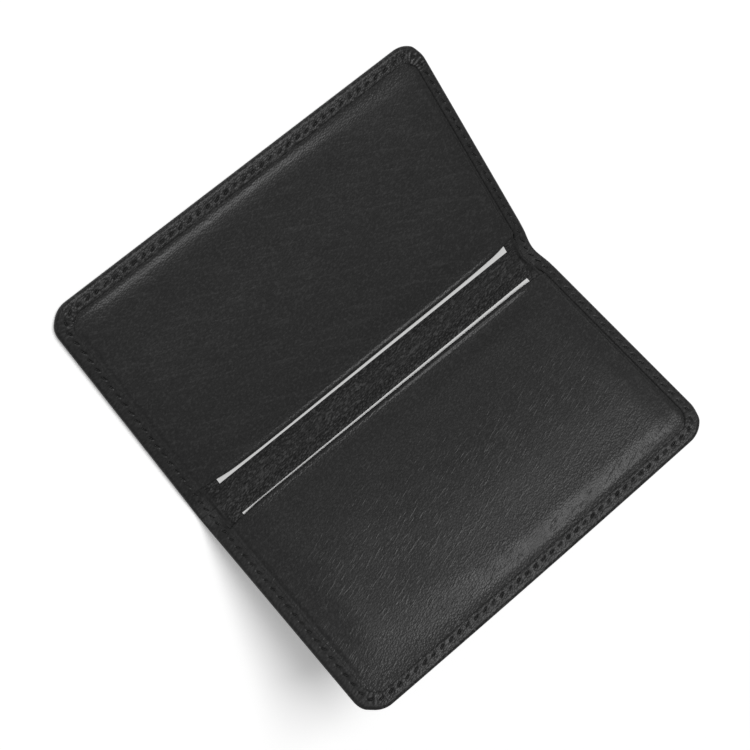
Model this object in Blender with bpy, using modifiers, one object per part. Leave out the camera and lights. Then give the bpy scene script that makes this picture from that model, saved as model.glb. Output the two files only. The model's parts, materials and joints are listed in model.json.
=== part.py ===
"""Leather business card holder, folded open, with one card in each of its two pockets.

Two stiffened wings hang on a flexible leather spine. The left wing lies flat on its
cover and the right wing rises from it. Along every outer edge the cover is turned over
the rims of the lining and the pocket panel, and the pockets open towards the spine.

Axes: +Z is up, +Y runs along the spine and +X from the left wing to the right one.
The origin is the centre of the left cover's outside face. Each wing is drawn in a frame
of its own: x runs outwards from the wing's fold axis, y along the spine, and z is the
height over the fold axis, which lies in the middle of the cover leather.
"""
import math

import bmesh
import bpy
from mathutils import Matrix, Vector

MM = 0.001

# Cards: sizes, how far each free edge lies outside the fold axis, and its drift and skew
card_length = 88.9 * MM
card_width = 50.8 * MM
left_card_setback = 1.2 * MM
right_card_setback = 2.35 * MM
left_card_drift = 0.8 * MM
right_card_drift = 0.6 * MM
left_card_skew = math.radians(-0.37)
right_card_skew = math.radians(0)

# Overall sizes: the leather leaves a margin at both ends of a card and beside it
end_margin = 7.8 * MM
side_margin = 6.9 * MM
holder_length = card_length + 2 * end_margin
wing_width = card_width + side_margin
open_angle = math.radians(137.2)
corner_radius = 6.5 * MM

# Leather, board and card thicknesses
cover_leather = 0.8 * MM
lip_leather = 0.6 * MM
edge_wall = 0.9 * MM
lining_leather = 0.3 * MM
pocket_leather = 0.5 * MM
board_thickness = 0.5 * MM
card_thickness = 0.35 * MM

# Clearances
layer_clearance = 0.1 * MM
fold_clearance = 0.2 * MM
closed_clearance = 0.2 * MM

# Turned edge of the cover
lip_width = 3.6 * MM
edge_round = 0.8 * MM
inner_corner_radius = 1.2 * MM

# Pocket panel: a steep foot beside the lip, a rounded shoulder and a rolled mouth hem
left_mouth_setback = 2.4 * MM
right_mouth_setback = 2.9 * MM
shoulder_width = 6.0 * MM
hem_radius = 0.55 * MM
hem_end_radius = 0.2 * MM
hem_proud = 0.15 * MM
crown_power = 3.0
crown_station_shares = (0.0, 0.015, 0.05, 0.12, 0.25, 0.45, 0.7, 1.0)
hem_station_shares = (0.0, 0.08, 0.25, 0.5, 1.0)

# Lining and board
ramp_run = 0.5 * MM
board_margin = 0.2 * MM
lining_step_setback = 1.3 * MM

# Facets and cutters
corner_steps = 8
edge_round_steps = 3
hem_steps = 4
spine_steps = 8
overrun = 5.0 * MM
weld_distance = 0.0001 * MM
flat_angle = math.radians(0.5)
smooth_angle = math.radians(35)

# Heights over the fold axis, from the outside of the cover to the top of the pocket
cover_bottom = -cover_leather / 2
cover_top = cover_leather / 2
lining_rim_top = cover_top + layer_clearance + lining_leather
pocket_rim_top = lining_rim_top + layer_clearance + pocket_leather
lip_bottom = pocket_rim_top + layer_clearance
band_top = lip_bottom + lip_leather
board_bottom = cover_top + layer_clearance
board_top = board_bottom + board_thickness
lining_top = board_top + layer_clearance + lining_leather
card_bottom = lining_top + layer_clearance
card_top = card_bottom + card_thickness
hem_bottom = card_top + layer_clearance
pocket_top = hem_bottom + 2 * hem_radius

# Distances in from the outer edge
rim_inset = edge_wall + 2 * layer_clearance
foot_inset = lip_width + layer_clearance
lining_ramp_inset = foot_inset + pocket_leather + 2 * layer_clearance
board_inset = lining_ramp_inset + ramp_run + board_margin

# Fold: closed, the two pocket panels lie face to face
half_length = holder_length / 2
bend = (math.pi - open_angle) / 2
hinge_spacing = 2 * pocket_top + closed_clearance
fold_radius = hinge_spacing / (2 * math.sin(bend))
left_fold_place = Vector((wing_width / 2, 0, -cover_bottom))
fold_step = Vector((math.cos(bend), 0, math.sin(bend))) * hinge_spacing

LEATHER_COVER = ("cover_leather", (0.031, 0.030, 0.031), 0.52)
LEATHER_LINING = ("lining_leather", (0.030, 0.029, 0.030), 0.5)
LEATHER_POCKET = ("pocket_leather", (0.027, 0.027, 0.027), 0.45)
BOARD_GREY = ("board_grey", (0.25, 0.22, 0.19), 0.9)
CARD_WHITE = ("card_white", (0.80, 0.80, 0.79), 0.6)


def new_collection(name):
    collection = bpy.data.collections.new(name)
    bpy.context.scene.collection.children.link(collection)
    return collection


def material(kind):
    """The Principled material of a piece, made once for each kind."""
    name, colour, roughness = kind
    known = bpy.data.materials.get(name)
    if known:
        return known
    made = bpy.data.materials.new(name)
    made.use_nodes = True
    shader = made.node_tree.nodes["Principled BSDF"]
    shader.inputs["Base Color"].default_value = (*colour, 1)
    shader.inputs["Roughness"].default_value = roughness
    shader.inputs["Metallic"].default_value = 0
    return made


def new_frame(name, place, turn, collection):
    """An empty on a fold axis, which carries the pieces that turn about it."""
    frame = bpy.data.objects.new(name, None)
    frame.location = place
    frame.rotation_euler = turn
    collection.objects.link(frame)
    return frame


def new_object(name, mesh, frame, collection):
    made = bpy.data.objects.new(name, mesh)
    made.parent = frame
    collection.objects.link(made)
    return made


def as_piece(piece, kind):
    """Gives a finished piece its material and smooth shading."""
    piece.data.materials.append(material(kind))
    piece.data.shade_smooth()
    piece.data.set_sharp_from_angle(angle=smooth_angle)
    return piece


def as_cutter(cutter):
    cutter.hide_render = True
    cutter.display_type = "WIRE"
    return cutter


def mesh_of_curve(curve, name, lift):
    """The welded mesh of a curve, raised by lift, with its flat caps in one face each."""
    drawn = bpy.data.objects.new(name, curve)
    bpy.context.scene.collection.objects.link(drawn)
    depsgraph = bpy.context.evaluated_depsgraph_get()
    mesh = bpy.data.meshes.new_from_object(drawn.evaluated_get(depsgraph))
    bpy.data.objects.remove(drawn)
    mesh.name = name
    bm = bmesh.new()
    bm.from_mesh(mesh)
    bmesh.ops.remove_doubles(bm, verts=bm.verts, dist=weld_distance)
    bmesh.ops.dissolve_limit(bm, angle_limit=flat_angle, verts=bm.verts, edges=bm.edges)
    bmesh.ops.translate(bm, verts=bm.verts, vec=(0, 0, lift))
    bmesh.ops.recalc_face_normals(bm, faces=bm.faces)
    bm.to_mesh(mesh)
    bm.free()
    return mesh


def plate_mesh(name, outline, bottom, top):
    """A flat sheet of the given outline between two heights."""
    curve = bpy.data.curves.new(name, "CURVE")
    curve.dimensions = "2D"
    curve.fill_mode = "BOTH"
    curve.extrude = (top - bottom) / 2
    spline = curve.splines.new("POLY")
    spline.points.add(len(outline) - 1)
    for point, (x, y) in zip(spline.points, outline):
        point.co = (x, y, 0, 1)
    spline.use_cyclic_u = True
    return mesh_of_curve(curve, name, (top + bottom) / 2)


def corner_arc(x, y, radius, start):
    """A quarter circle of points about x, y."""
    angles = [start + math.pi / 2 * step / corner_steps for step in range(corner_steps + 1)]
    return [(x + radius * math.cos(a), y + radius * math.sin(a)) for a in angles]


def wing_path(inset, fold_edge):
    """A U from the fold side round both outer corners and back, at an inset from the edge."""
    far = wing_width - inset
    side = half_length - inset
    radius = max(corner_radius - inset, inner_corner_radius)
    lower = corner_arc(far - radius, -side + radius, radius, -math.pi / 2)
    upper = corner_arc(far - radius, side - radius, radius, 0)
    return [(fold_edge, -side), *lower, *upper, (fold_edge, side)]


def boolean(piece, operation, other):
    modifier = piece.modifiers.new(other.name, "BOOLEAN")
    modifier.operation = operation
    modifier.solver = "EXACT"
    modifier.object = other


def solidify(piece, thickness):
    """Gives an upward facing sheet its thickness, downwards."""
    modifier = piece.modifiers.new("leather", "SOLIDIFY")
    modifier.thickness = thickness
    modifier.offset = -1
    modifier.use_even_offset = True


def loft(name, rings, closed):
    """A sheet through rings of points, the last of them closed by one flat face."""
    bm = bmesh.new()
    loops = [[bm.verts.new(point) for point in ring] for ring in rings]
    for outer, inner in zip(loops, loops[1:]):
        last = len(outer) if closed else len(outer) - 1
        for here in range(last):
            there = (here + 1) % len(outer)
            bm.faces.new((outer[here], outer[there], inner[there], inner[here]))
    bm.faces.new(loops[-1])
    bmesh.ops.recalc_face_normals(bm, faces=bm.faces)
    if bm.faces[-1:][0].normal.z < 0:
        bmesh.ops.reverse_faces(bm, faces=bm.faces)
    mesh = bpy.data.meshes.new(name)
    bm.to_mesh(mesh)
    bm.free()
    return mesh


def wing_cover(side, frame, parts, cutters):
    """Half the cover: outside leather, wall and the lip turned over the two rims."""
    slab = plate_mesh(side + "_cover", wing_path(0, -overrun), cover_bottom, band_top)
    cover = new_object(side + "_cover", slab, frame, parts)
    rounding = cover.modifiers.new("edge", "BEVEL")
    rounding.width = edge_round
    rounding.segments = edge_round_steps
    rounding.limit_method = "ANGLE"
    rounding.angle_limit = smooth_angle
    slot = plate_mesh(side + "_rim_slot", wing_path(edge_wall, -2 * overrun), cover_top, lip_bottom)
    window = plate_mesh(side + "_window", wing_path(lip_width, -2 * overrun), cover_top, band_top + overrun)
    beyond_fold = [(fold_clearance / 2, -half_length - overrun), (fold_clearance / 2, half_length + overrun),
                   (-2 * overrun, half_length + overrun), (-2 * overrun, -half_length - overrun)]
    trim = plate_mesh(side + "_fold_trim", beyond_fold, cover_bottom - overrun, band_top + 2 * overrun)
    for mesh in (slot, window, trim):
        boolean(cover, "DIFFERENCE", as_cutter(new_object(mesh.name, mesh, frame, cutters)))
    return as_piece(cover, LEATHER_COVER)


def wing_board(side, frame, parts):
    """The stiffener between the cover and the lining."""
    fold_edge = lining_step_setback + ramp_run + board_margin
    board = plate_mesh(side + "_board", wing_path(board_inset, fold_edge), board_bottom, board_top)
    return as_piece(new_object(side + "_board", board, frame, parts), BOARD_GREY)


def wing_lining(side, frame, parts):
    """The lining: its rim lies on the cover, and a ramp on all four sides takes it over the board."""
    stations = ((rim_inset, fold_clearance / 2, lining_rim_top),
                (lining_ramp_inset, lining_step_setback, lining_rim_top),
                (lining_ramp_inset + ramp_run, lining_step_setback + ramp_run, lining_top))
    rings = [[(x, y, level) for x, y in wing_path(inset, fold_edge)] for inset, fold_edge, level in stations]
    lining = new_object(side + "_lining", loft(side + "_lining", rings, True), frame, parts)
    solidify(lining, lining_leather)
    return as_piece(lining, LEATHER_LINING)


def crown_level(share):
    """Height of the panel's upper face, at a share of the shoulder's width in from its foot."""
    rise = (1 - (1 - share) ** crown_power) ** (1 / crown_power)
    return pocket_rim_top + (pocket_top - hem_proud - pocket_rim_top) * rise


def mouth_hem(side, mouth_setback, frame, cutters):
    """The rolled hem along the mouth, tapering into the foot at both ends."""
    half = []
    for share in hem_station_shares:
        radius = hem_end_radius + (hem_radius - hem_end_radius) * math.sqrt(share)
        inset = foot_inset + pocket_leather / 2 + share * shoulder_width
        level = max(crown_level(share) + hem_proud * share - radius, pocket_rim_top)
        half.append((half_length - inset, level, radius))
    stations = [(-y, level, radius) for y, level, radius in half] + half[::-1]
    curve = bpy.data.curves.new(side + "_mouth_hem", "CURVE")
    curve.dimensions = "3D"
    curve.bevel_depth = hem_radius
    curve.bevel_resolution = hem_steps
    curve.use_fill_caps = True
    spline = curve.splines.new("POLY")
    spline.points.add(len(stations) - 1)
    for point, (y, level, radius) in zip(spline.points, stations):
        point.co = (mouth_setback + hem_radius, y, level, 1)
        point.radius = radius / hem_radius
    mesh = mesh_of_curve(curve, side + "_mouth_hem", 0)
    return as_cutter(new_object(mesh.name, mesh, frame, cutters))


def pocket_panel(side, mouth_setback, frame, parts, cutters):
    """The crowned pocket panel: rim under the lip, foot, shoulder and flat top, open at its mouth."""
    fold_edge = mouth_setback + hem_radius
    rings = [[(x, y, pocket_rim_top) for x, y in wing_path(rim_inset, fold_edge)]]
    for share in crown_station_shares:
        path = wing_path(foot_inset + share * shoulder_width, fold_edge)
        rings.append([(x, y, crown_level(share)) for x, y in path])
    name = side + "_pocket_panel"
    panel = new_object(name, loft(name, rings, False), frame, parts)
    solidify(panel, pocket_leather)
    boolean(panel, "UNION", mouth_hem(side, mouth_setback, frame, cutters))
    return as_piece(panel, LEATHER_POCKET)


def card(side, setback, drift, skew, frame, parts):
    """A card in its pocket, with its origin at the middle of its free edge."""
    half = card_length / 2
    outline = [(0, -half), (card_width, -half), (card_width, half), (0, half)]
    mesh = plate_mesh(side + "_card", outline, 0, card_thickness)
    piece = new_object(side + "_card", mesh, frame, parts)
    piece.location = (setback, drift, card_bottom)
    piece.rotation_euler.z = skew
    return as_piece(piece, CARD_WHITE)


def spun_strip(name, section, frame, parts, kind):
    """A strip of the spine: its section, drawn in y and z, is spun from one fold axis to the other."""
    bm = bmesh.new()
    face = bm.faces.new([bm.verts.new((0, y, z)) for y, z in section])
    centre = Vector((0, 0, fold_radius))
    end_angle = fold_clearance / 2 / fold_radius
    bmesh.ops.rotate(bm, verts=bm.verts, cent=centre, matrix=Matrix.Rotation(-end_angle, 3, "Y"))
    bmesh.ops.spin(bm, geom=[face, *face.edges, *face.verts], cent=centre, axis=(0, -1, 0),
                   angle=2 * (bend - end_angle), steps=spine_steps)
    bmesh.ops.recalc_face_normals(bm, faces=bm.faces)
    mesh = bpy.data.meshes.new(name)
    bm.to_mesh(mesh)
    bm.free()
    return as_piece(new_object(name, mesh, frame, parts), kind)


def round_edge(start):
    """The quarter round on the outer edge of the band, in y and z, from the angle start."""
    level = cover_bottom + edge_round if start < 0 else band_top - edge_round
    angles = [start + math.pi / 2 * step / edge_round_steps for step in range(edge_round_steps + 1)]
    return [(half_length - edge_round + edge_round * math.cos(a), level + edge_round * math.sin(a)) for a in angles]


def mirrored(half):
    """A closed section from its half at +y, given from the bottom up."""
    return half + [(-y, z) for y, z in reversed(half)]


def spine_cover(frame, parts):
    """The cover between the wings, with a lip turned over at both ends of the spine."""
    lip = half_length - lip_width
    wall = half_length - edge_wall
    half = [*round_edge(-math.pi / 2), *round_edge(0), (lip, band_top), (lip, lip_bottom), (wall, lip_bottom),
            (wall, cover_top)]
    return spun_strip("spine_cover", mirrored(half), frame, parts, LEATHER_COVER)


def spine_lining(frame, parts):
    """The lining between the wings, lying on the cover with its ends under the lips."""
    end = half_length - rim_inset
    half = [(end, cover_top + layer_clearance), (end, lining_rim_top)]
    return spun_strip("spine_lining", mirrored(half), frame, parts, LEATHER_LINING)


def build():
    for old in list(bpy.data.objects):
        bpy.data.objects.remove(old)
    parts = new_collection("business_card_holder")
    cutters = new_collection("cutters")
    left = new_frame("left_wing_frame", left_fold_place, (0, 0, math.pi), parts)
    spine = new_frame("fold_a_axis", left_fold_place, (0, 0, 0), parts)
    right = new_frame("fold_b_axis", left_fold_place + fold_step, (0, -2 * bend, 0), parts)
    wings = (("left", left_mouth_setback, left), ("right", right_mouth_setback, right))
    for side, mouth_setback, frame in wings:
        wing_cover(side, frame, parts, cutters)
        wing_board(side, frame, parts)
        wing_lining(side, frame, parts)
        pocket_panel(side, mouth_setback, frame, parts, cutters)
    card("left", left_card_setback, -left_card_drift, left_card_skew, left, parts)
    card("right", right_card_setback, right_card_drift, right_card_skew, right, parts)
    spine_cover(spine, parts)
    spine_lining(spine, parts)


build()
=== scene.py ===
"""Looks of the leather business card holder: grained leather, rolled mouths, seams and cards.

Every sheet of leather is drawn flat and then laid round the fold. A point of a sheet is given
by its run across the fold (0 in the middle of the spine, negative on the left wing), its y
along the spine, and its height over the middle of the cover leather. laid() turns the three
into a place in the frame.

side is -1 for the left wing and 1 for the right wing. The far short sides are those at +y and
the near ones those at -y. An inset is measured inwards from the holder's outer edge. Where a
name ends in rise, fall, reach or end, a pair of values says where a gradual change starts and
ends, and a single value how far something goes.
"""
import json
import math

import bmesh
import bpy
import numpy as np
from mathutils import Euler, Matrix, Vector, noise


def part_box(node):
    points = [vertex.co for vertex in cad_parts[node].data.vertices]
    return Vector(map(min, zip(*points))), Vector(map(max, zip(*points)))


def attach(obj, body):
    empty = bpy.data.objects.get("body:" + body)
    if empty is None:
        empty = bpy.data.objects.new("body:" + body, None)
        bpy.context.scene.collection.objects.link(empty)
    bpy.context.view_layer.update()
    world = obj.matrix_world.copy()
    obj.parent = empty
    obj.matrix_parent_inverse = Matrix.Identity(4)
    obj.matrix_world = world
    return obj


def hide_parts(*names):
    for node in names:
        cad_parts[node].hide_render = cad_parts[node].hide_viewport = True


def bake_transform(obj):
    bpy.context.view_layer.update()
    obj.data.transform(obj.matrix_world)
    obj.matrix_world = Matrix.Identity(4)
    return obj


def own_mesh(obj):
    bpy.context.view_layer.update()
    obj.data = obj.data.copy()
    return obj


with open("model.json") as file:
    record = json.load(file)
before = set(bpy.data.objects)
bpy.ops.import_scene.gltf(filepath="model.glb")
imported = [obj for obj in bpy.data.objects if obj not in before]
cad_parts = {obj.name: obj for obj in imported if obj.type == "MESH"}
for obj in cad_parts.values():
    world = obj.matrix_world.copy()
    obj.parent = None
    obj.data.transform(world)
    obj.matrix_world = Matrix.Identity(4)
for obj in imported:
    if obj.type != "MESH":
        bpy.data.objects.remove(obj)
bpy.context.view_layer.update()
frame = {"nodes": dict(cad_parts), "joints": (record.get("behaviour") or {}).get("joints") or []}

MM = 0.001
LEFT, RIGHT = -1, 1
SIDES = {LEFT: "left", RIGHT: "right"}
REST = "leather_place"

# The fold and the covers, read from the frame
joints = {joint["name"]: joint for joint in frame["joints"]}
fold_a = np.array(joints["fold_a"]["pos_m"])
fold_b = np.array(joints["fold_b"]["pos_m"])
bend = math.atan2(fold_b[2] - fold_a[2], fold_b[0] - fold_a[0])
fold_radius = np.linalg.norm(fold_b - fold_a) / (2 * math.sin(bend))
half_arc = fold_radius * bend
cover_low, cover_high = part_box("left_cover")
wing_width = fold_a[0] - cover_low.x
half_length = cover_high.y
cover_half = fold_a[2] - cover_low.z
band_top = cover_high.z - fold_a[2]

# Turned edge of the cover. The radii are those of each wing's near and far corner.
corner_radii = {LEFT: (5.8 * MM, 5.9 * MM), RIGHT: (6.1 * MM, 6.9 * MM)}
edge_round = 1.25 * MM
top_round = 0.85 * MM
edge_wall = 0.9 * MM
lip_width = 3.6 * MM
lip_leather = 0.6 * MM
lip_round = 0.5 * MM
lip_turn = 165
lip_corner = 3.9 * MM
lip_bottom = band_top - lip_leather
flat_inset = 4.6 * MM
band_reach = (band_top - lip_round, band_top - lip_round / 2)
face_reach = (-cover_half + 0.005 * MM, -cover_half + 0.02 * MM)

# Points of the cover's section: on the outside face, on the band and round its three turns
face_span, face_points = (flat_inset, edge_round * 1.3), 25
band_span, band_points = (top_round * 1.1, lip_width - lip_round * 1.1), 22
lower_steps, upper_steps, lip_steps = 5, 8, 6

# The band falls towards the edge, steps up beside the lip and has a faint grain
band_fall = 0.2 * MM
band_fall_power = 1.15
bead_reach = (1.8 * MM, 2.9 * MM)
bead_height = 0.1 * MM
band_grain_height = 0.012 * MM
band_grain_size = 0.9 * MM

# In the strip between the mouths the turned edge lies lower, and its far lip lies further in
strip_drop = 0.35 * MM
strip_end = (0, 5.5 * MM)
strip_lip_drop = 0.25 * MM
strip_lip_drop_end = (1.5 * MM, 3.4 * MM)
strip_lip_shift = 0.45 * MM
strip_lip_shift_end = (2.2 * MM, 3.4 * MM)

# Seam: each stitch lies in a slot in a shallow channel, and the leather puckers beside it
seam_inset = 2.2 * MM
stitch_pitch = 2.54 * MM
stitch_columns = 14
bend_stitches = 4
stitch_length = 1.6 * MM
stitch_slant = math.radians(24)
channel_depth = 0.02 * MM
channel_width = 0.6 * MM
slot_depth = 0.38 * MM
slot_length = 0.54 * MM
slot_width = 0.19 * MM
pucker_height = 0.05 * MM
pucker_width = 0.75 * MM
seam_unevenness = 0.6
seam_lump = 3.7 * MM
seam_lump_squeeze = 3
seam_end_reach = (0, 1.5 * MM)

# On the short sides the seam is calmer, with longer, thinner and deeper slots, and beside the
# fold it is slack
short_side_calm = 0.75
short_slot_longer = 0.4
short_slot_thinner = 0.2
short_slot_deeper = 0.1
fold_slack = 0.4
fold_slack_reach = 9 * MM

# Thread: two twisted plies whose ends dive into the leather
thread_radius = 0.085 * MM
ply_offset = thread_radius * 0.8
thread_turns = 1.25
thread_sink = 0.03 * MM
thread_dive, thread_dive_power = 0.34 * MM, 5
thread_taper, thread_taper_power = 0.25, 6
thread_rings, thread_sides = 9, 6

# Pleats of the turned corners. The shares are those of each wing's near and far corner.
pleat_height = 0.28 * MM
pleat_count = 6
pleat_shares = {LEFT: (0.35, 1.0), RIGHT: (0.3, 0.12)}
pleat_rise, pleat_fall = (-0.6, 0.0), (1.0, 1.5)
pleat_body = (top_round / 2, 1.5 * MM)
pleat_lean = 0.35
pleat_sway, pleat_sway_speed = 1.6, 7
pleat_depth, pleat_depth_spread, pleat_depth_speed = 0.65, 0.5, 3

# Hand work has set the edge, the seam and the pockets a little off their drawn places
far_side_shift = 0.45 * MM
near_side_shift = 0.3 * MM
side_shift_rise, side_shift_fall = (0.3 * MM, 2 * MM), (6 * MM, 14 * MM)
right_side_shift = 0.15 * MM
right_shift_rise, right_shift_fall = (2 * MM, 3.4 * MM), (6 * MM, 12 * MM)
right_edge_bulge = 0.3 * MM
right_bulge_end = (0, 8 * MM)
far_edge_shift = 0.1 * MM
near_edge_shift = 0.05 * MM
edge_shift_power = 16
fold_notch = 0.5 * MM
fold_notch_end = (0, 6 * MM)
fold_notch_fall = (4 * MM, 9 * MM)

# Pocket panels
panel_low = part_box("left_pocket_panel")[0]
rim_inset = panel_low.x - cover_low.x
rim_x = wing_width - rim_inset
rim_y = half_length - rim_inset
rim_bottom = panel_low.z - fold_a[2]
pocket_leather = 0.5 * MM
rim_top = rim_bottom + pocket_leather
foot_top = 1.97 * MM
foot_inset = lip_width + 0.3 * MM
foot_x = wing_width - foot_inset
foot_y = half_length - foot_inset
foot_radius = 3.8 * MM
foot_tuck = 1.2 * MM
far_tuck = (-2.1 * MM, 0.6 * MM)

# Top of the cards, read from the frame
card_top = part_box("left_card")[1].z - fold_a[2]

# Shoulders: the parts of the rise, each with its height or share, its width and its power
shoulders = {LEFT: ((0.22 * MM, 2.2 * MM, 2.8), (0.27 * MM, 5.0 * MM, 3.0)),
             RIGHT: ((0.72 * MM, 6.3 * MM, 4.0),)}
crowns = {LEFT: ((0.6 * MM, 50 * MM, 3.0),), RIGHT: ((1.06 * MM, 28 * MM, 3.0),)}
near_side_shoulder = ((0.3, 1.4 * MM, 3.0), (0.7, 11 * MM, 2.5))
far_side_shoulder = ((0.4, 1.3 * MM, 3.0), (0.6, 8 * MM, 2.5))
shoulder_start = {LEFT: 0.0, RIGHT: 0.4 * MM}

# Towards its soft end a shoulder is stretched, and the crown stretched or higher
soft_end = {LEFT: (5 * MM, 48 * MM), RIGHT: (5 * MM, -46 * MM)}
shoulder_stretch = {LEFT: 1.4, RIGHT: 2.4}
crown_stretch = {LEFT: 0.0, RIGHT: 1.0}
crown_growth = {LEFT: 0.6, RIGHT: 0.0}

# The panel's top sinks towards the mouth and has soft pillows away from the foot
belly = {LEFT: 0.0, RIGHT: 0.33 * MM}
belly_reach = (0, 24 * MM)
pillow_height = 0.14 * MM
pillow_size = 17 * MM
pillow_level = 0.6
pillow_reach = (0, 14 * MM)

# Mouths: a rolled hem with a dip behind it. The base is the mouth's distance from the fold
# axis in the middle, then how far it is skewed and bowed at mouth_reach from the middle.
mouth_reach = 42 * MM
mouth_base = {LEFT: -0.17 * MM, RIGHT: 0.3 * MM}
mouth_skew = {LEFT: 0.0, RIGHT: 0.28 * MM}
mouth_bow = {LEFT: 0.5 * MM, RIGHT: 0.0}
mouth_bow_power = 5
mouth_bow_limit = 1.05
mouth_pull_end = (0, 14 * MM)
mouth_end_drop = 0.5 * MM
mouth_end_width = 5.0 * MM
hem_radius = 0.55 * MM
hem_end_radius = 0.22 * MM
hem_stretch = 1.6
hem_back = {LEFT: 0.85 * MM, RIGHT: 0.8 * MM}
hem_turned_end = (2.5 * MM, 3.5 * MM)
hem_steps = 12
dip_end = 7.0 * MM
dip_depth = {LEFT: 0.23 * MM, RIGHT: 0.3 * MM}
dip_low_share = {LEFT: 0.4, RIGHT: 0.2}
dip_middle = {LEFT: 12 * MM, RIGHT: 32 * MM}
dip_spread = 26 * MM
dip_side_reach = (3 * MM, 14 * MM)

# Lining
lining_low, lining_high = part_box("left_lining")
lining_leather = 0.3 * MM
lining_rim = lining_low.z - fold_a[2] + lining_leather
lining_rise = lining_high.z - fold_a[2] - lining_rim
lining_step = (-2.6 * MM, 3.2 * MM)
lining_hidden = 5 * MM
lining_side_ramp = 2.5 * MM
lining_outer_ramp = 0.5 * MM
lining_foot_inset = 4.4 * MM
lining_edge_rise = 0.63 * MM
lining_edge_width = 1.1 * MM
lining_edge_end = (4.2 * MM, 5.2 * MM)

# Creases of the lining along the strip
crease_height = 0.04 * MM
crease_size = 1.6 * MM
crease_squeeze = (2.2, 0.35)
crease_end = (3 * MM, 4 * MM)
crease_side_reach = (0, 1.5 * MM)

# Looks: a reach out from the spine on each wing, how far the bend changes its look and how the
# # grain is turned
blend_reach = 2.6 * MM
bend_reach = 8 * MM
grain_turn = math.radians(15)
scratch_turn = math.radians(18)
wrinkle_turn = math.radians(-25)
fibre_turn = 0.5

# Sizes of the grain across and along the turned spine
small_grain = (0.4 * MM, 0.6 * MM)
fold_grain = (1.1 * MM, 2.6 * MM)
speck_grain = (0.5 * MM, 0.8 * MM)
scratch_grain = (0.5 * MM, 3.4 * MM)
wrinkle_grain = (0.9 * MM, 9 * MM)
broad_grain = (1.8 * MM, 3.6 * MM)
fibre_grain = (0.05 * MM, 0.25 * MM)
pebbled_gloss = (2.5 * MM, 4 * MM)
nappa_gloss = (3 * MM, 6 * MM)
pebble_stretch, fine_stretch, speck_stretch = 1.6, 1.4, 2.3

# Shares of the base colour between which each look is tinted; the leathers' high shares are painted glints
pebbled_glint_tint = (0.8, 4.0)
nappa_glint_tint = (0.87, 2.1)
thread_tint = (0.6, 1.4)
card_tint = (0.96, 1.03)

# The part of the noise that counts: all of its usual spread, or only its peaks
noise_range = (0.3, 0.7)
speck_range = (0.54, 0.64)
scratch_range = (0.58, 0.74)
wrinkle_range = (0.55, 0.7)

# Where the leathers change: beside the short sides, from wing to wing and where they are drawn
calm_width = 0.8 * MM
wing_change = (-MM, MM)
scratch_reach = (10 * MM, 32 * MM)
left_scratches = 0.1
right_wrinkles = 0.2
drawn_edge_end = (7 * MM, 15 * MM)
drawn_edge_grain = 1.9
drawn_edge_squeeze = 1.8
drawn_mouth_end = (8 * MM, 9.5 * MM)
drawn_mouth_grain = 2.2

# Studio, and the camera: where it stands, how it is turned and its lens on its sensor
target = Vector((32.4, 0, 10)) * MM
floor_size = 3.0
floor_drop = 0.02 * MM
floor_glow = (0.3, 1.0)
glow_reach = (160 * MM, 700 * MM)
sky_light = 0.15
camera_place = Vector((-119.68, -65.96, 309.03)) * MM
camera_turn = Euler([math.radians(angle) for angle in (-14.745, -24.4, 56.473)])
camera_lens = 70.34
camera_sensor = 36


def smooth(low, high, value):
    """Goes from 0 at low to 1 at high."""
    share = np.clip((value - low) / (high - low), 0, 1)
    return share * share * (3 - 2 * share)


def window(value, rise, fall):
    """1 between a rise from 0 and a fall back to 0."""
    return smooth(*rise, value) * (1 - smooth(*fall, value))


def bell(value, width):
    """1 at 0 and close to 0 beyond twice the width."""
    return np.exp(-(value / width) ** 2)


def hand_set(run, y):
    """Where hand work has really put a point of the leather."""
    inset = half_length - np.abs(y)
    side_inset = half_arc + wing_width - run
    away = window(inset, side_shift_rise, side_shift_fall)
    right = window(side_inset, right_shift_rise, right_shift_fall)
    notch = fold_notch * (1 - smooth(*fold_notch_end, np.abs(run))) * (1 - smooth(*fold_notch_fall, inset))
    shift = np.where(y > 0, far_side_shift * away - notch, near_side_shift * away)
    edge_shift = np.where(y > 0, far_edge_shift, near_edge_shift)
    shift = shift + edge_shift * (np.abs(y) / half_length) ** edge_shift_power
    bulge = right_edge_bulge * (1 - (y / half_length) ** 2) * (1 - smooth(*right_bulge_end, side_inset))
    return run + right_side_shift * right + bulge, y + shift


def laid(run, y, height):
    """The place of points of the flat leather once it lies round the fold."""
    run, y, height = np.broadcast_arrays(run, y, height)
    run, y = hand_set(run, y)
    along = np.clip(run + half_arc, 0, 2 * half_arc)
    angle = along / fold_radius
    reach = fold_radius - height
    before = np.minimum(run + half_arc, 0)
    after = np.maximum(run - half_arc, 0)
    x = fold_a[0] + reach * np.sin(angle) + before + after * math.cos(2 * bend)
    z = fold_a[2] + fold_radius - reach * np.cos(angle) + after * math.sin(2 * bend)
    return np.stack([x, y, z], -1)


def waves(x, y, size, seed):
    """Smooth noise from -1 to 1 over a flat sheet, with lumps of about the given size."""
    x, y = np.broadcast_arrays(x, y)
    flat = zip(np.ravel(x / size), np.ravel(y / size))
    found = [noise.noise(Vector((across, along, seed))) for across, along in flat]
    return np.reshape(found, np.shape(x))


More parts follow.
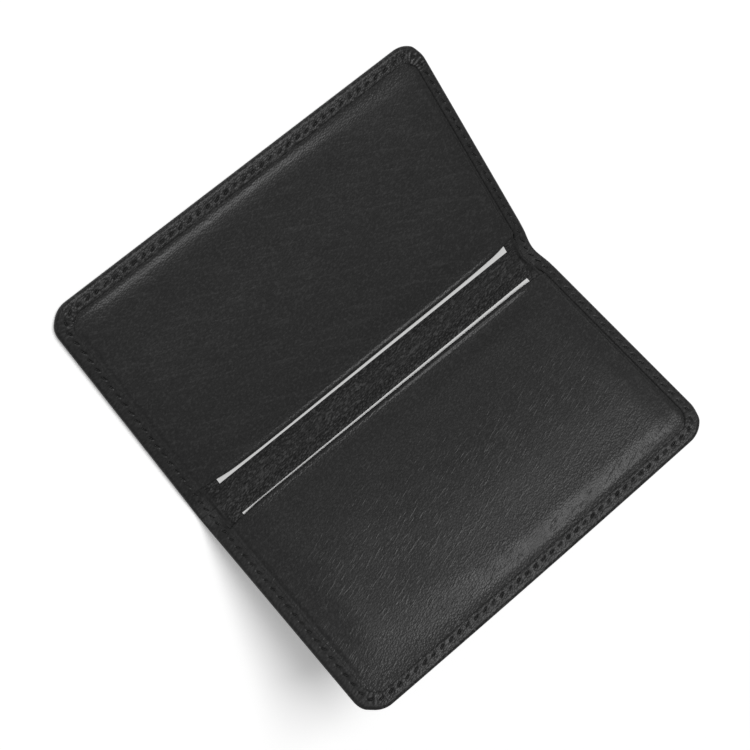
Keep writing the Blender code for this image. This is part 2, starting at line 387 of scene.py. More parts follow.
def made(name, verts, flat, faces, material, flat_faces):
    """An object from points, their flat leather places and faces, the last few of them flat."""
    mesh = bpy.data.meshes.new(name)
    mesh.from_pydata(verts.tolist(), [], faces)
    place = mesh.attributes.new(REST, "FLOAT_VECTOR", "POINT")
    place.data.foreach_set("vector", np.ravel(flat).astype(np.float32))
    bm = bmesh.new()
    bm.from_mesh(mesh)
    bmesh.ops.recalc_face_normals(bm, faces=bm.faces)
    bm.to_mesh(mesh)
    bm.free()
    mesh.shade_smooth()
    for polygon in mesh.polygons[len(faces) - flat_faces:]:
        polygon.use_smooth = False
    piece = bpy.data.objects.new(name, mesh)
    bpy.context.scene.collection.objects.link(piece)
    mesh.materials.append(material)
    return piece


def grid_faces(rows, columns, closed=False):
    """Quads between rows of points, each row with the same number of columns."""
    faces = []
    for row in range(rows if closed else rows - 1):
        here = row * columns
        there = (row + 1) % rows * columns
        faces += [(here + c, here + c + 1, there + c + 1, there + c) for c in range(columns - 1)]
    return faces


def sheet_solid(name, flat, material):
    """A closed solid from a grid of flat places: rows go round it, columns from end to end."""
    rows, columns, _ = flat.shape
    flat = flat.reshape(-1, 3)
    verts = laid(flat[:, 0], flat[:, 1], flat[:, 2])
    faces = grid_faces(rows, columns, closed=True)
    ends = [[row * columns for row in range(rows)], [(row + 1) * columns - 1 for row in range(rows)]]
    return made(name, verts, flat, faces + ends, material, columns + 1)


def graded(marks, counts):
    """Values through the marks, with the given number of steps between each two."""
    pieces = [np.linspace(a, b, n, endpoint=False) for a, b, n in zip(marks, marks[1:], counts)]
    return np.concatenate([*pieces, [marks[-1]]])


def both_ways(half):
    """Values from side to side out of those from the middle to one side."""
    return np.concatenate([-half[:0:-1], half])


def rounded_corner(x, y, outer, side_y, radius):
    """Moves points of a square grid so that its two outer corners follow a radius."""
    u = np.clip((x - outer) / radius + 1, 0, 1)
    v = np.clip((np.abs(y) - side_y) / radius + 1, 0, 1)
    x_new = x - radius * u * (1 - np.sqrt(1 - v * v / 2))
    y_new = np.abs(y) - radius * v * (1 - np.sqrt(1 - u * u / 2))
    return x_new, np.sign(y) * y_new


def seam_line(side):
    """Stations along half the seam, from the spine round the wing and back.

    Gives the length along it, its points, the way out of the leather at each, where the turn
    of each corner starts and ends and its radius, and the number of stitches.
    """
    first_radius, second_radius = [radius - seam_inset for radius in corner_radii[side]]
    outer = half_arc + wing_width - seam_inset
    end = half_length - seam_inset
    lengths = [outer - first_radius, first_radius * math.pi / 2, 2 * end - first_radius - second_radius,
               second_radius * math.pi / 2, outer - second_radius]
    marks = np.cumsum(lengths)
    stitches = round(marks[-1] / stitch_pitch)
    t = np.linspace(0, marks[-1], stitches * stitch_columns + 1)
    first = np.clip((t - marks[0]) / first_radius, 0, math.pi / 2)
    second = np.clip((t - marks[2]) / second_radius, 0, math.pi / 2)
    way = np.stack([np.sin(first + second), -np.cos(first + second)], -1)
    run = np.minimum(t, marks[0]) + first_radius * np.sin(first)
    run = run - second_radius * (1 - np.cos(second)) - np.maximum(t - marks[3], 0)
    y = -end + first_radius * (1 - np.cos(first)) + np.clip(t - marks[1], 0, marks[2] - marks[1])
    y = y + second_radius * np.sin(second)
    corners = ((marks[0], marks[1], corner_radii[side][0]), (marks[2], marks[3], corner_radii[side][1]))
    return t, np.stack([run, y], -1), way, corners, stitches


def arc_rows(inset, height, radius, start, end, steps):
    """Points of a section's rounding. Angle 0 points out of the holder's edge and 90 degrees up."""
    angles = np.radians(np.linspace(start, end, steps + 1))
    return [(inset - radius * math.cos(a), height + radius * math.sin(a)) for a in angles]


def cover_section():
    """The cover's section from the outside face round the edge to the lip and back: inset, height."""
    outer = [(inset, -cover_half) for inset in np.linspace(*face_span, face_points)]
    lower = arc_rows(edge_round, edge_round - cover_half, edge_round, -90, 0, lower_steps)
    upper = arc_rows(top_round, band_top - top_round, top_round, 0, 90, upper_steps)
    band = [(inset, band_top) for inset in np.linspace(*band_span, band_points)]
    lip = arc_rows(lip_width - lip_round, band_top - lip_round, lip_round, 90, lip_turn, lip_steps)
    inside = [(lip_width - lip_round / 2, foot_top - lip_round / 10), (lip_width - lip_round * 2, lip_bottom),
              (edge_wall, lip_bottom), (edge_wall, cover_half), (flat_inset, cover_half)]
    return outer + lower + upper + band + lip + inside


def seam_relief(side, t, pitch, inset, calm, run_in, joined):
    """How far the leather is drawn down or raised beside the seam. Both wings' stitches slant alike."""
    along = (t / pitch % 1 - 0.5) * pitch
    across = inset - seam_inset
    slant = side * stitch_slant
    a = along * math.cos(slant) + across * math.sin(slant)
    b = across * math.cos(slant) - along * math.sin(slant)
    length = slot_length * (1 + short_slot_longer * (1 - calm))
    width = slot_width * (1 - short_slot_thinner * (1 - calm))
    slot = np.exp(-(a / length) ** 4 - (b / width) ** 2)
    pucker = calm * np.cos(2 * math.pi * along / pitch) * bell(across, pucker_width)
    tightness = 1 + short_slot_deeper * (1 - calm) - fold_slack * bell(run_in, fold_slack_reach)
    relief = -slot_depth * slot * tightness - channel_depth * bell(across, channel_width)
    relief = relief - pucker_height * pucker
    return relief * (1 + seam_unevenness * joined * waves(t, inset * seam_lump_squeeze, seam_lump, side))


def pleat_relief(side, t, inset, corners):
    """The turned leather is gathered in pleats round both corners."""
    relief = np.zeros_like(t + inset)
    for (start, end, radius), share_of in zip(corners, pleat_shares[side]):
        share = (t - start) / (end - start)
        lean = pleat_lean * (inset - seam_inset) / lip_width
        sway = pleat_sway * np.sin(pleat_sway_speed * share + radius / MM + side)
        phase = 2 * math.pi * (pleat_count * share + lean) + sway
        body = smooth(*pleat_body, inset)
        uneven = waves(share * pleat_depth_speed, inset / MM, 1, radius / MM)
        depth = pleat_depth + pleat_depth_spread * uneven
        height = pleat_height * share_of * window(share, pleat_rise, pleat_fall) * body * depth
        relief = relief + height * (np.abs(np.cos(phase / 2)) - 1)
    return relief


def lip_set_in(t, corners):
    """The lip's inner edge turns the corners in a wider arc than the seam."""
    set_in = np.zeros_like(t)
    for start, end, radius in corners:
        wider = lip_corner - (radius - lip_width)
        share = np.clip((t - (start + end) / 2) / ((end - start) / 2 + wider), -1, 1)
        set_in = set_in + wider * (math.sqrt(2) - 1) * np.cos(share * math.pi / 2) ** 2
    return set_in


def edge_drop(inset, run_in, above, lip_share):
    """How far the turned edge lies below the top of its drawn section."""
    drop = strip_drop * (1 - smooth(*strip_end, run_in)) * above
    drop = drop + band_fall * np.maximum(1 - inset / seam_inset, 0) ** band_fall_power * above
    drop = drop + bead_height * (1 - smooth(*bead_reach, inset)) * above
    return drop + strip_lip_drop * (1 - smooth(*strip_lip_drop_end, run_in)) * lip_share


def closing_faces(rows, columns, straight):
    """Faces across the wing that close the cover's two flats, short ones where it bends."""
    fine = bend_stitches * stitch_columns
    steps = sorted({*range(0, fine), *range(fine, straight, stitch_columns), straight})
    faces = []
    for row in (0, rows - 1):
        start = row * columns
        for here, there in zip(steps, steps[1:]):
            one_end = list(range(start + here, start + there + 1))
            other_end = list(range(start + columns - 1 - there, start + columns - here))
            faces.append(one_end + other_end)
        faces.append(list(range(start + steps[-1], start + columns - steps[-1])))
    return faces


def wing_cover(side, material):
    """Half the cover with its turned edge, from the middle of the spine to the wing's outer edge."""
    t, points, way, corners, stitches = seam_line(side)
    section = np.array(cover_section())
    inset, height = section[:, :1], section[:, 1:]
    above = smooth(cover_half, lip_bottom, height)
    lip_share = smooth(seam_inset, lip_width - lip_round, inset) * above
    on_band = smooth(*band_reach, height) * (inset > top_round)
    on_face = 1 - smooth(*face_reach, height)
    run_in = np.abs(points[None, :, 0]) - half_arc
    calm = 1 - short_side_calm * np.abs(way[None, :, 1])
    joined = smooth(*seam_end_reach, np.minimum(t, t[-1] - t))[None]
    relief = seam_relief(side, t[None], t[-1] / stitches, inset, calm, run_in, joined)
    grain = calm * joined * band_grain_height * waves(t[None], inset, band_grain_size, 5 + side)
    rise = on_band * (relief + pleat_relief(side, t[None], inset, corners) + grain)
    rise = rise - edge_drop(inset, run_in, above, lip_share) - on_face * np.minimum(relief, 0)
    strip_shift = strip_lip_shift * (1 - smooth(*strip_lip_shift_end, run_in)) * (points[None, :, 1] > 0)
    out = seam_inset - inset - lip_share * (lip_set_in(t, corners)[None] + strip_shift)
    run = side * (points[None, :, 0] + way[None, :, 0] * out)
    y = points[None, :, 1] + way[None, :, 1] * out
    flat = np.stack([run, y, height + rise], -1)
    rows, columns = run.shape
    straight = int(np.searchsorted(t, corners[0][0])) + 1
    faces = grid_faces(rows, columns) + closing_faces(rows, columns, straight)
    cut = [row * columns for row in range(rows)] + [(row + 1) * columns - 1 for row in reversed(range(rows))]
    verts = laid(flat[..., 0], flat[..., 1], flat[..., 2]).reshape(-1, 3)
    return made(SIDES[side] + "_cover_leather", verts, flat.reshape(-1, 3), faces + [cut], material, 1)


def ply_faces(start):
    """Faces of one ply, a closed tube whose points begin at start."""
    faces = []
    for ring in range(thread_rings - 1):
        here = start + ring * thread_sides
        there = here + thread_sides
        for step in range(thread_sides):
            step_on = (step + 1) % thread_sides
            faces.append((here + step, here + step_on, there + step_on, there + step))
    last = start + (thread_rings - 1) * thread_sides
    return faces + [range(start, start + thread_sides), range(last, last + thread_sides)]


def thread(side, material):
    """The seam's stitches on both faces of the holder."""
    t_line, points, way, _, stitches = seam_line(side)
    pitch = t_line[-1] / stitches
    slant = side * stitch_slant
    share = np.linspace(-1, 1, thread_rings)
    around = np.linspace(0, 2 * math.pi, thread_sides, endpoint=False)
    along = share * stitch_length / 2
    dive = thread_sink + slot_depth / 2 + thread_dive * np.abs(share) ** thread_dive_power
    size = thread_radius * (1 - thread_taper * np.abs(share) ** thread_taper_power)
    flats, faces = [], []
    for face, level in ((1, band_top - channel_depth), (-1, -cover_half + channel_depth)):
        for stitch in range(stitches):
            for ply in (0, math.pi):
                twist = ply + thread_turns * math.pi * share
                across = along * math.sin(slant) + ply_offset * np.cos(twist)
                lift = ply_offset * np.sin(twist) - dive
                t = (stitch + 0.5) * pitch + along * math.cos(slant)
                line = np.stack([np.interp(t, t_line, values) for values in (*points.T, *way.T)], -1)
                out = -across[:, None] + size[:, None] * np.cos(around)
                height = level + face * (lift[:, None] + size[:, None] * np.sin(around))
                run = side * (line[:, :1] + line[:, 2:3] * out)
                flat = np.stack([run, line[:, 1:2] + line[:, 3:] * out, height], -1)
                faces += ply_faces(len(flats) * thread_rings * thread_sides)
                flats.append(flat.reshape(-1, 3))
    flat = np.concatenate(flats)
    verts = laid(flat[:, 0], flat[:, 1], flat[:, 2])
    return made(SIDES[side] + "_seam_thread", verts, flat, faces, material, 0)


def eased(share, power):
    """Rises from 0 to 1 and is steepest where share is 1 / power."""
    share = np.clip(share, 0, 1)
    return 1 - (1 + power * share) * (1 - share) ** power


def rise_over(distance, parts):
    """The rise of a shoulder at a distance in from its foot."""
    return sum(share * eased(distance / width, power) for share, width, power in parts)


def side_rise(y, from_side):
    """The share of the panel's rise that is reached at a distance in from a short side."""
    return np.where(y > 0, rise_over(from_side, far_side_shoulder), rise_over(from_side, near_side_shoulder))


def mouth_from_fold(side):
    """How far out from the wing's fold axis the CAD panel's mouth lies."""
    axis, way = (fold_a, (-1, 0)) if side == LEFT else (fold_b, (math.cos(2 * bend), math.sin(2 * bend)))
    points = [vertex.co for vertex in frame["nodes"][SIDES[side] + "_pocket_panel"].data.vertices]
    return min((point.x - axis[0]) * way[0] + (point.z - axis[2]) * way[1] for point in points)


def pocket_grid(side, crest):
    """The panel's grid, fine at foot and mouth: x out from the fold axis and y along the spine."""
    turn, rise, top = 0.4 * MM, 2 * MM, 6 * MM
    marks_x = [rim_x, foot_x + foot_tuck, foot_x, foot_x - turn, foot_x - rise, foot_x - top,
               crest + dip_end, crest + 1.4 * hem_back[side], crest]
    marks_y = [0, foot_y - top, foot_y - rise, foot_y - turn, foot_y, foot_y + foot_tuck, rim_y]
    steps_x, steps_y = (2, 8, 5, 10, 14, 40, 12, 14), (70, 12, 8, 5, 8, 2)
    return np.meshgrid(graded(marks_x, steps_x), both_ways(graded(marks_y, steps_y)), indexing="ij")


def shoulder_rise(side, y, from_outer, back):
    """The rise of a panel's shoulder and crown, less its belly, away from the short sides."""
    soft = smooth(*soft_end[side], y)
    crown = rise_over(from_outer / (1 + crown_stretch[side] * soft), crowns[side])
    crown = crown * (1 + crown_growth[side] * soft)
    from_start = from_outer - shoulder_start[side]
    rise = rise_over(from_start / (1 + shoulder_stretch[side] * soft), shoulders[side]) + crown
    return rise - belly[side] * (1 - smooth(*belly_reach, back))


def mouth_dip(side, y, from_side, back):
    """The dip behind the hem, deepest at its own place along the mouth."""
    depth = dip_low_share[side] + (1 - dip_low_share[side]) * bell(y - dip_middle[side], dip_spread)
    dip = dip_depth[side] * depth * smooth(*dip_side_reach, from_side)
    return dip * (smooth(0, hem_back[side], back) - smooth(1.5 * hem_back[side], dip_end, back))


def pillows(side, x, y, from_outer, from_side, back):
    """Soft lumps of the panel's top, none of them at its foot or on its hem."""
    inner = smooth(*pillow_reach, from_outer) * smooth(*pillow_reach, from_side)
    lumps = pillow_height * (waves(x, y, pillow_size, 3 * side) - pillow_level)
    return lumps * inner * smooth(hem_back[side], 2 * dip_end, back)


def mouth_pull(side, y, from_crest):
    """How far the bowed and skewed mouth is drawn back from a straight one."""
    bow = mouth_bow[side] * (np.minimum(np.abs(y) / mouth_reach, mouth_bow_limit)) ** mouth_bow_power
    set_back = bow + mouth_skew[side] * y / mouth_reach
    return set_back * (1 - smooth(*mouth_pull_end, from_crest))


def pocket_panel(side, material):
    """A pocket panel: rim, foot, rounded shoulder, pillowed top and rolled mouth hem."""
    crest = mouth_from_fold(side) + mouth_base[side] + hem_radius * hem_stretch
    x, y = pocket_grid(side, crest)
    from_outer, from_side = foot_x - x, foot_y - np.abs(y)
    x, y = rounded_corner(x, y, foot_x, foot_y, foot_radius)
    back = x - crest
    sides = side_rise(y, from_side)
    near_tuck = (-foot_tuck, -foot_tuck / 2)
    side_tuck = np.where(y > 0, smooth(*far_tuck, from_side), smooth(*near_tuck, from_side))
    tuck_rise = smooth(*near_tuck, from_outer) * side_tuck
    end_drop = mouth_end_drop * (1 - smooth(0, mouth_end_width, from_side))
    end_drop = end_drop * (1 - smooth(0, 2 * mouth_end_width, back))
    height = rim_top + (foot_top - rim_top) * tuck_rise + shoulder_rise(side, y, from_outer, back) * sides
    height = height - mouth_dip(side, y, from_side, back) + pillows(side, x, y, from_outer, from_side, back)
    height = height - end_drop * sides
    radius = hem_end_radius + (hem_radius - hem_end_radius) * sides[-1:]
    thick = pocket_leather + (2 * radius - pocket_leather) * (1 - smooth(*hem_turned_end, back))
    angles = np.radians(np.linspace(90, -90, hem_steps + 1))[1:-1]
    nose_x = crest - hem_stretch * radius * np.cos(angles)[:, None]
    nose_y = np.repeat(y[-1:], len(angles), 0)
    nose_height = height[-1:] - radius + radius * np.sin(angles)[:, None]
    # The underside has every third row of the upper face, from the mouth back to the rim
    under = slice(None, None, -3)
    all_x = np.concatenate([x, nose_x, x[under]])
    all_y = np.concatenate([y, nose_y, y[under]])
    all_height = np.concatenate([height, nose_height, (height - thick)[under]])
    all_x = all_x + mouth_pull(side, all_y, all_x - crest)
    flat = np.stack([side * (half_arc + all_x), all_y, all_height], -1)
    return sheet_solid(SIDES[side] + "_pocket_leather", flat, material)


def wing_lining(side, material):
    """Half the lining: seen in the strip between the mouths, then over the board to its rim."""
    outer = wing_width - lining_foot_inset
    foot = half_length - lip_width
    marks_run = [0, half_arc, half_arc + lining_step[1], half_arc + lining_hidden,
                 half_arc + outer - lining_outer_ramp, half_arc + outer, half_arc + rim_x]
    marks_y = [0, foot - lining_side_ramp, foot, rim_y]
    steps_run, steps_y = (16, 8, 8, 12, 4, 4), (150, 20, 6)
    x = graded(marks_run, steps_run) - half_arc
    x, y = np.meshgrid(x, both_ways(graded(marks_y, steps_y)), indexing="ij")
    x, y = rounded_corner(x, y, rim_x, rim_y, corner_radii[side][1] - rim_inset)
    from_side = foot - np.abs(y)
    up = smooth(*lining_step, x) * smooth(0, lining_outer_ramp, outer - x)
    up = up * smooth(0, lining_side_ramp, from_side)
    across, along = side * (half_arc + x) * crease_squeeze[0], y * crease_squeeze[1]
    creases = crease_height * waves(across, along, crease_size, 9) * (1 - smooth(*crease_end, x))
    to_lip = from_side - strip_lip_shift * (y > 0)
    drawn_up = lining_edge_rise * (1 - smooth(*lining_edge_end, x))
    drawn_up = drawn_up * (1 - smooth(0, lining_edge_width, to_lip))
    plain = lining_rim + lining_rise * up
    top = plain + creases * smooth(*crease_side_reach, from_side) + drawn_up
    all_x = np.concatenate([x, x[::-1]])
    all_y = np.concatenate([y, y[::-1]])
    all_height = np.concatenate([top, (plain - lining_leather)[::-1]])
    flat = np.stack([side * (half_arc + all_x), all_y, all_height], -1)
    return sheet_solid(SIDES[side] + "_lining_leather", flat, material)


class Look:
    """A material under construction: its node tree and short ways to add nodes to it."""

    def __init__(self, name, colour, roughness):
        self.material = bpy.data.materials.new(name)
        self.material.use_nodes = True
        self.tree = self.material.node_tree
        self.shader = self.tree.nodes["Principled BSDF"]
        self.colour = colour
        self.roughness = roughness

    def node(self, kind, inputs=(), **settings):
        """Adds a node, with its inputs linked to a socket or set to a value."""
        added = self.tree.nodes.new("ShaderNode" + kind)
        for name, value in settings.items():
            setattr(added, name, value)
        for socket, value in dict(inputs).items():
            if isinstance(value, bpy.types.NodeSocket):
                self.tree.links.new(value, added.inputs[socket])
            else:
                added.inputs[socket].default_value = value
        return added

    def math(self, operation, a, b):
        """The result of one Math node."""
        return self.node("Math", {0: a, 1: b}, operation=operation).outputs[0]

    def ranged(self, value, low, high, to_low, to_high):
        """A value that goes from to_low to to_high while the given one goes from low to high."""
        inputs = {"Value": value, "From Min": low, "From Max": high, "To Min": to_low, "To Max": to_high}
        return self.node("MapRange", inputs).outputs["Result"]

    def mixed(self, *parts):
        """The sum of values, each with its weight."""
        total = 0.0
        for value, weight in parts:
            total = self.node("Math", {0: value, 1: weight, 2: total}, operation="MULTIPLY_ADD").outputs[0]
        return total

    def place(self):
        """The flat leather place of each point."""
        return self.node("Attribute", attribute_name=REST).outputs["Vector"]

    def part(self, axis):
        """One part of the flat leather place: X is the run, Y is y and Z the height."""
        return self.node("SeparateXYZ", {"Vector": self.place()}).outputs[axis]

    def from_middle(self, axis):
        """The distance from the middle of the spine across or along the leather."""
        return self.math("ABSOLUTE", self.part(axis), 0)

    def bent(self):
        """1 in the middle of the spine and 0 where the leather lies flat."""
        inputs = {"Value": self.from_middle("X"), "From Min": 0, "From Max": bend_reach}
        inputs.update({"To Min": 1, "To Max": 0})
        return self.node("MapRange", inputs, interpolation_type="SMOOTHSTEP").outputs["Result"]

    def scaled(self, across, along, turn=0):
        """The flat leather place in units of the given sizes across and along a turned spine."""
        inputs = {"Vector": self.place(), "Scale": (across, along, across), "Rotation": (0, 0, turn)}
        return self.node("Mapping", inputs, vector_type="TEXTURE").outputs["Vector"]

    def noise(self, across, along, detail=2, turn=0):
        """Noise from 0 to 1 with lumps of the given size."""
        inputs = {"Vector": self.scaled(across, along, turn), "Scale": 1, "Detail": detail}
        return self.node("TexNoise", inputs).outputs["Fac"]

    def pebbles(self, across, along, turn=0):
        """Low domes of the given size, parted by fine valleys."""
        inputs = {"Vector": self.scaled(across, along, turn), "Scale": 1, "Randomness": 0.9}
        distance = self.node("TexVoronoi", inputs, feature="F1").outputs["Distance"]
        return self.ranged(self.math("MULTIPLY", distance, distance), 0, 0.5, 1, 0)

    def painted_glints(self, across, along, turn=0):
        """Separate specks of about the given size, painted into the leathers' colour as glints."""
        return self.ranged(self.noise(across, along, 1, turn), *speck_range, 0, 1)

    def tint(self, value, dark_share, light_share):
        """The base colour, from a darker to a lighter share of itself."""
        ramp = self.node("ValToRGB", {"Fac": value})
        for stop, share in zip(ramp.color_ramp.elements, (dark_share, light_share)):
            stop.color = (*[channel * share for channel in self.colour], 1)
        self.tree.links.new(ramp.outputs["Color"], self.shader.inputs["Base Color"])

    def rough(self, value, spread, at_fold=0):
        """Roughness about its plain value, with more of it where the leather bends."""
        result = self.ranged(value, *noise_range, self.roughness - spread, self.roughness + spread)
        if at_fold:
            result = self.mixed((result, 1), (self.bent(), at_fold))
        self.tree.links.new(result, self.shader.inputs["Roughness"])

    def sheen(self, level):
        """How strongly the surface mirrors light."""
        self.shader.inputs["Specular IOR Level"].default_value = level

    def bump(self, height, distance):
        """Relief of the given depth from a height of 0 to 1."""
        bump = self.node("Bump", {"Height": height, "Distance": distance, "Strength": 1})
        self.tree.links.new(bump.outputs["Normal"], self.shader.inputs["Normal"])


def pebbled_leather(name, grey, roughness, sheen, grain, depth, fold, edge, lights):
    """Coarser leather of the cover and the lining: small pebbles drawn out along the spine.

    fold gives the roughness that the bend adds and the share of the grain and painted glints
    that it leaves. edge gives the share of the grain and painted glints left beside the short
    sides and how far in that is so. The last argument gives the weights in the tint of pebbles,
    specks, flat leather and that edge: the pebble tops and specks are painted highlights, glints
    put into the colour, and flat leather made lighter than the bend is painted shade at the
    spine's middle.
    """
    look = Look(name, (grey, grey, grey), roughness)
    at_fold, grain_at_fold = fold
    edge_grain, edge_width = edge
    domes = look.pebbles(grain, pebble_stretch * grain, grain_turn)
    painted_glints = look.painted_glints(grain, speck_stretch * grain, grain_turn)
    small = look.noise(*small_grain, 1, grain_turn)
    folds = look.noise(*fold_grain, 1, grain_turn)
    edge_start = half_length - edge_width
    calm = look.ranged(look.from_middle("Y"), edge_start - calm_width, edge_start, 1, edge_grain)
    grown = look.math("MULTIPLY", calm, look.ranged(look.bent(), 0, 1, 1, grain_at_fold))
    relief = look.mixed((domes, 0.8), (small, 0.3), (folds, 0.2))
    look.bump(look.math("MULTIPLY", relief, grown), depth)
    flat = look.math("SUBTRACT", 1, look.bent())
    still = look.math("SUBTRACT", 1, calm)
    # Painted light in the tint: pebble tops and specks are painted glints, flat leather lighter than the bend
    # is painted shade, and the edge term lightens the leather beside its short sides
    painted_light_masks = (domes, look.math("MULTIPLY", painted_glints, grown), flat, still)
    look.tint(look.mixed(*zip(painted_light_masks, lights)), *pebbled_glint_tint)
    look.rough(look.noise(*pebbled_gloss), 0.05, at_fold)
    look.sheen(sheen)
    return look.material


def nappa_leather(name, grey, roughness, sheen, grain, depth):
    """Smooth fine leather of the pockets: fine pebbles, short scratches and long faint wrinkles, their glints
    painted into the colour.

    The scratches are on the right pocket and most of the wrinkles on the left one. Where the
    leather is drawn over the outer shoulder or round the hem, its grain stands out more.
    """
    look = Look(name, (grey, grey, grey), roughness)
    domes = look.pebbles(grain, fine_stretch * grain, grain_turn)
    painted_glints = look.painted_glints(*speck_grain, grain_turn)
    scratches = look.ranged(look.noise(*scratch_grain, 1, scratch_turn), *scratch_range, 0, 1)
    wrinkles = look.ranged(look.noise(*wrinkle_grain, 2, wrinkle_turn), *wrinkle_range, 0, 1)
    broad = look.noise(*broad_grain, 1, grain_turn)
    run = look.part("X")
    scratches = look.math("MULTIPLY", scratches, look.ranged(run, *scratch_reach, left_scratches, 1))
    wrinkles = look.math("MULTIPLY", wrinkles, look.ranged(run, *wing_change, 1, right_wrinkles))
    from_edge = look.math("SUBTRACT", half_arc + wing_width, look.from_middle("X"))
    from_edge = look.math("MULTIPLY", from_edge, look.ranged(run, *wing_change, drawn_edge_squeeze, 1))
    edge_grain = look.ranged(from_edge, *drawn_edge_end, drawn_edge_grain, 1)
    mouth_grain = look.ranged(look.from_middle("X"), *drawn_mouth_end, drawn_mouth_grain, 1)
    drawn = look.math("MULTIPLY", edge_grain, mouth_grain)
    fine = look.mixed((domes, 0.5), (scratches, 0.9))
    wide = look.mixed((broad, 0.6), (wrinkles, 0.4))
    look.bump(look.math("ADD", look.math("MULTIPLY", fine, drawn), wide), depth)
    # Painted highlights: pebble tops, specks, scratches and wrinkles lighten the colour as glints of the
    # grain
    look.tint(look.mixed((domes, 0.2), (painted_glints, 0.35), (scratches, 0.2), (wrinkles, 0.2)), *nappa_glint_tint)
    look.rough(look.noise(*nappa_gloss), 0.04)
    look.sheen(sheen)
    return look.material


def thread_look(name, grey, roughness):
    """Waxed black thread."""
    look = Look(name, (grey, grey, grey), roughness)
    fibres = look.noise(*fibre_grain, 2, fibre_turn)
    look.bump(fibres, 0.02 * MM)
    look.tint(fibres, *thread_tint)
    look.rough(fibres, 0.08)
    return look.material


def card_look(name, colour, roughness):
    """Matt card with faint fibres. It is read in object places, because cards are CAD nodes."""
    look = Look(name, colour, roughness)
    place = look.node("TexCoord").outputs["Object"]
    drawn_out = look.node("Mapping", {"Vector": place, "Scale": (1 / MM, 1 / MM, 4 / MM)}).outputs["Vector"]
    fibres = look.node("TexNoise", {"Vector": drawn_out, "Scale": 1.5, "Detail": 4}).outputs["Fac"]
    look.bump(fibres, 0.012 * MM)
    look.tint(fibres, *card_tint)
    look.rough(fibres, 0.04)
    return look.material


def dress():
    """Makes every piece, seats each pocket panel on its wing and gives the carried CAD nodes their materials.
    """
    cover = pebbled_leather("pebbled_cover_leather", 0.0188, 0.4, 0.2, grain=0.44 * MM, depth=0.06 * MM,
                            fold=(0.28, 2.0), edge=(0.35, 3.4 * MM), lights=(0.15, 0.42, 0, 0.075))
    # The lining's grain and painted glints drop to a tenth beside its short sides, painted shade in the
    # trough under the lip, and its middle of the spine is darker, painted shade against the bend's highlight
    lining = pebbled_leather("pebbled_lining_leather", 0.0154, 0.42, 0.2, grain=0.5 * MM, depth=0.15 * MM,
                             fold=(0.24, 1.0), edge=(0.1, 4.5 * MM), lights=(0.2, 0.55, 0.14, 0))
    pocket = nappa_leather("smooth_pocket_leather", 0.0236, 0.365, 0.2, grain=0.42 * MM, depth=0.034 * MM)
    cord = thread_look("waxed_thread", 0.009, 0.5)
    paper = card_look("white_card", (0.72, 0.72, 0.715), 0.6)
    board = card_look("grey_board", (0.25, 0.22, 0.19), 0.9)
    middle = laid(0.0, 0.0, 0.0)
    for side, word in SIDES.items():
        wing = word + "_wing"
        away = laid(side * (half_arc + blend_reach), 0.0, 0.0)
        crossing = {"cover_leather": wing_cover(side, cover), "seam_thread": thread(side, cord),
                    "lining_leather": wing_lining(side, lining)}
        for kind, piece in crossing.items():
            if side == LEFT:
                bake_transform(piece)
            else:
                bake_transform(piece)
        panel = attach(pocket_panel(side, pocket), wing)
        under = laid(side * (half_arc + wing_width / 2), 0.0, card_top)
        over = laid(side * (half_arc + wing_width / 2), 0.0, card_top + MM)
        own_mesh(panel)
        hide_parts(word + "_cover", *(["spine_cover"] if side == LEFT else []))
        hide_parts(word + "_lining", *(["spine_lining"] if side == LEFT else []))
        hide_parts(word + "_pocket_panel")
        for node, material in ((word + "_card", paper), (word + "_board", board)):
            frame["nodes"][node].data.materials.clear()
            frame["nodes"][node].data.materials.append(material)


def area_light(name, way, distance, size, power):
    """A square soft box on the given side of the holder, which it faces."""
    lamp = bpy.data.lights.new(name, "AREA")
    lamp.shape = "SQUARE"
    lamp.size = size
    lamp.energy = power
    holder = bpy.data.objects.new(name, lamp)
    way = Vector(way).normalized()
    holder.location = target + way * distance
    holder.rotation_euler = way.to_track_quat("Z", "Y").to_euler()
    bpy.context.scene.collection.objects.link(holder)


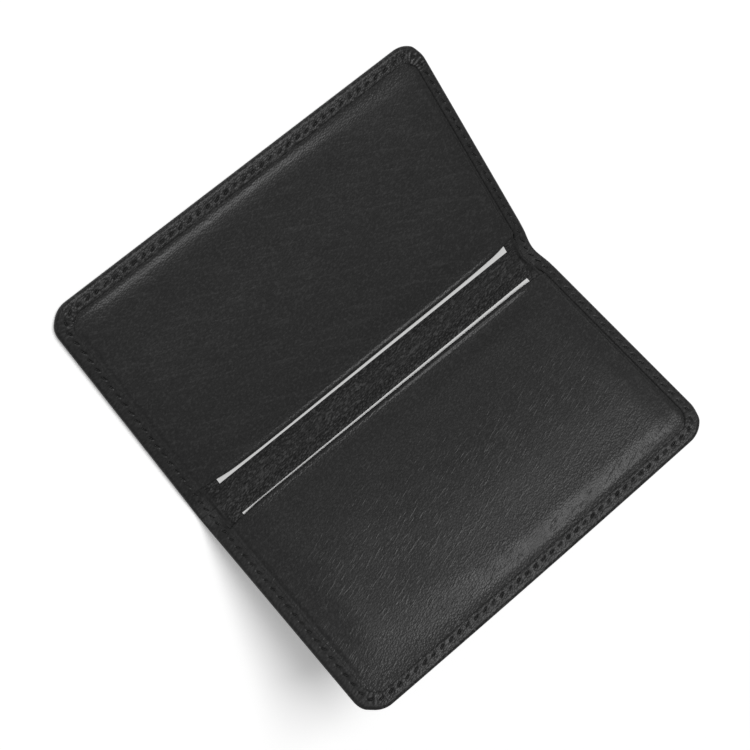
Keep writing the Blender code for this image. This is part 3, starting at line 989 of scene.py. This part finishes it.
def pale_floor():
    """A pale floor that, for the camera alone, turns white further off."""
    mesh = bpy.data.meshes.new("floor")
    bm = bmesh.new()
    bmesh.ops.create_grid(bm, x_segments=1, y_segments=1, size=floor_size / 2)
    bm.to_mesh(mesh)
    bm.free()
    floor = bpy.data.objects.new("floor", mesh)
    floor.location = (target.x, 0, -floor_drop)
    bpy.context.scene.collection.objects.link(floor)
    look = Look("floor", (0.9, 0.9, 0.9), 0.9)
    look.shader.inputs["Base Color"].default_value = (*look.colour, 1)
    look.shader.inputs["Roughness"].default_value = look.roughness
    look.shader.inputs["Emission Color"].default_value = (1, 1, 1, 1)
    look.sheen(0)
    seen = look.node("LightPath").outputs["Is Camera Ray"]
    place = look.node("TexCoord").outputs["Object"]
    away = look.node("VectorMath", {"Vector": place}, operation="LENGTH").outputs["Value"]
    glow = look.math("MULTIPLY", seen, look.ranged(away, *glow_reach, *floor_glow))
    look.tree.links.new(glow, look.shader.inputs["Emission Strength"])
    mesh.materials.append(look.material)


def white_sky():
    """A background that is white for the camera and lights the holder faintly."""
    world = bpy.data.worlds.new("studio")
    bpy.context.scene.world = world
    world.use_nodes = True
    nodes, links = world.node_tree.nodes, world.node_tree.links
    back = nodes["Background"]
    path = nodes.new("ShaderNodeLightPath")
    strength = nodes.new("ShaderNodeMapRange")
    strength.inputs["To Min"].default_value = sky_light
    strength.inputs["To Max"].default_value = 1.0
    links.new(path.outputs["Is Camera Ray"], strength.inputs["Value"])
    links.new(strength.outputs["Result"], back.inputs["Strength"])
    back.inputs["Color"].default_value = (1, 1, 1, 1)


def camera():
    """The camera, at the photograph's viewing angle."""
    lens = bpy.data.cameras.new("camera")
    lens.lens = camera_lens
    lens.sensor_width = camera_sensor
    lens.clip_start = 0.01
    lens.clip_end = 10
    eye = bpy.data.objects.new("camera", lens)
    eye.location = camera_place
    eye.rotation_euler = camera_turn
    bpy.context.scene.collection.objects.link(eye)
    bpy.context.scene.camera = eye


bpy.context.scene.view_settings.view_transform = "Standard"
camera()
pale_floor()
white_sky()
area_light("key", way=(-0.36, 0.2, 0.91), distance=2.5, size=1.1, power=49.0)
dress()
bpy.context.view_layer.update()
